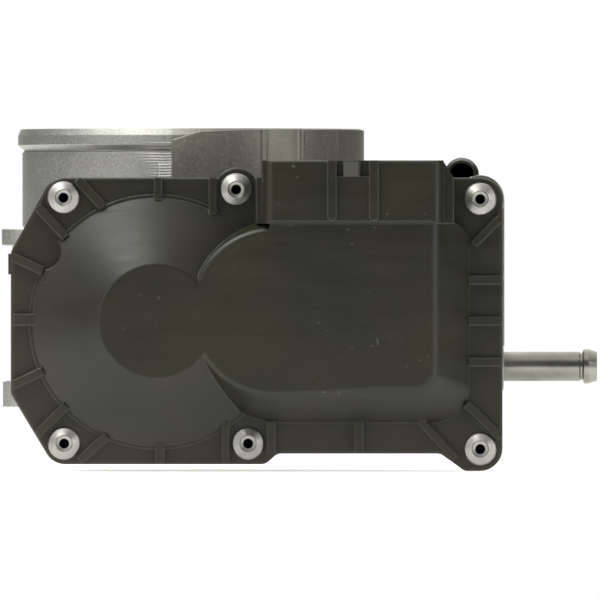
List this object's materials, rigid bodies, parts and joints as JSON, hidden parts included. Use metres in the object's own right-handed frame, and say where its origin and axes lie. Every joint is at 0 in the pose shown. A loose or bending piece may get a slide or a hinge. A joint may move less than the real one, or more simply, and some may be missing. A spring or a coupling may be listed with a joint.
{
  "type": "electronic throttle body",
  "caption": "Electronic throttle body: round air bore with a motor-driven butterfly plate, a riveted plastic gear cover with connector, and two coolant pipes.",
  "frame": {"origin": "centre of the bore at the engine flange face, which is also the centre of the four engine bolt holes", "axes": "+Z along the bore from the engine towards the air inlet; the throttle shaft lies along Y at Z 23 mm and the gear cover is on the -Y side; +X points from the bore to the motor and the straight coolant pipe"},
  "size_m": [0.1613, 0.1399, 0.0926],
  "materials": {
    "cast_aluminium": "as-cast, shot-blasted",
    "cover_plastic": "moulded, fine texture, black",
    "seal_rubber": "matte",
    "rivet_metal": "satin",
    "board": "solder mask",
    "chip": "moulded epoxy",
    "terminal_metal": "tinned",
    "pipe_steel": "satin, plated",
    "fastener_steel": "zinc plated",
    "plate_brass": "turned edge",
    "shaft_steel": "ground",
    "gear_plastic": "glass-filled, natural",
    "magnet": "sintered",
    "spring_steel": "drawn wire",
    "guide_plastic": "glass-filled",
    "motor_steel": "deep drawn, plated",
    "bronze": "sintered",
    "carbon": "pressed",
    "motor_core_steel": "laminated",
    "copper_wire": "enamelled"
  },
  "bodies": {
    "housing": {"throttle_casting": "cast_aluminium", "collar_casting": "cast_aluminium", "motor_housing": "cast_aluminium", "gear_housing": "cast_aluminium", "gear_cover": "cover_plastic", "cover_gasket": "seal_rubber", "cover_rivets": "rivet_metal", "sensor_board": "board", "sensor_chips": "chip", "connector_pins": "terminal_metal", "motor_sockets": "terminal_metal", "side_coolant_pipe": "pipe_steel", "front_coolant_pipe": "pipe_steel", "gallery_plugs": "pipe_steel", "front_bearing": "shaft_steel", "front_needles": "shaft_steel", "rear_bearing": "shaft_steel", "rear_needles": "shaft_steel", "front_seal": "seal_rubber", "rear_seal": "seal_rubber", "shaft_end_plug": "fastener_steel", "return_spring": "spring_steel", "limp_home_spring": "spring_steel", "spring_guide": "guide_plastic", "stop_screw": "fastener_steel", "idler_pin": "shaft_steel", "idler_washer": "fastener_steel", "motor_can": "motor_steel", "motor_wave_washer": "spring_steel", "motor_magnets": "magnet", "motor_end_cap": "guide_plastic", "motor_screws": "fastener_steel", "motor_front_bush": "bronze", "motor_rear_bush": "bronze", "motor_terminals": "terminal_metal", "motor_brushes": "carbon"},
    "throttle": {"throttle_shaft": "shaft_steel", "throttle_plate": "plate_brass", "plate_screws": "fastener_steel", "sector_gear": "gear_plastic", "shaft_washer": "fastener_steel", "shaft_nut": "fastener_steel", "sensor_magnet": "magnet"},
    "idler": {"idler_pinion": "shaft_steel", "idler_wheel": "gear_plastic"},
    "motor_rotor": {"motor_shaft": "shaft_steel", "motor_core": "motor_core_steel", "motor_windings": "copper_wire", "commutator": "copper_wire", "motor_pinion": "bronze"}
  },
  "joints": [
    {"name": "throttle_turn", "type": "hinge", "parent": "housing", "child": "throttle", "pos_m": [0, 0, 0.023], "axis": [0, 1, 0], "range_deg": [-7, 78], "stiffness_Nm_per_rad": 0.2},
    {"name": "idler_turn", "type": "hinge", "parent": "housing", "child": "idler", "pos_m": [0.034, 0, 0.023], "axis": [0, 1, 0], "range_deg": [-305, 30]},
    {"name": "motor_turn", "type": "hinge", "parent": "housing", "child": "motor_rotor", "pos_m": [0.06, 0, 0.023], "axis": [0, 1, 0], "range_deg": [-110, 1210]}
  ],
  "couplings": [
    {"joint": "idler_turn", "follows": "throttle_turn", "ratio": -3.8571},
    {"joint": "motor_turn", "follows": "throttle_turn", "ratio": 15.429}
  ]
}
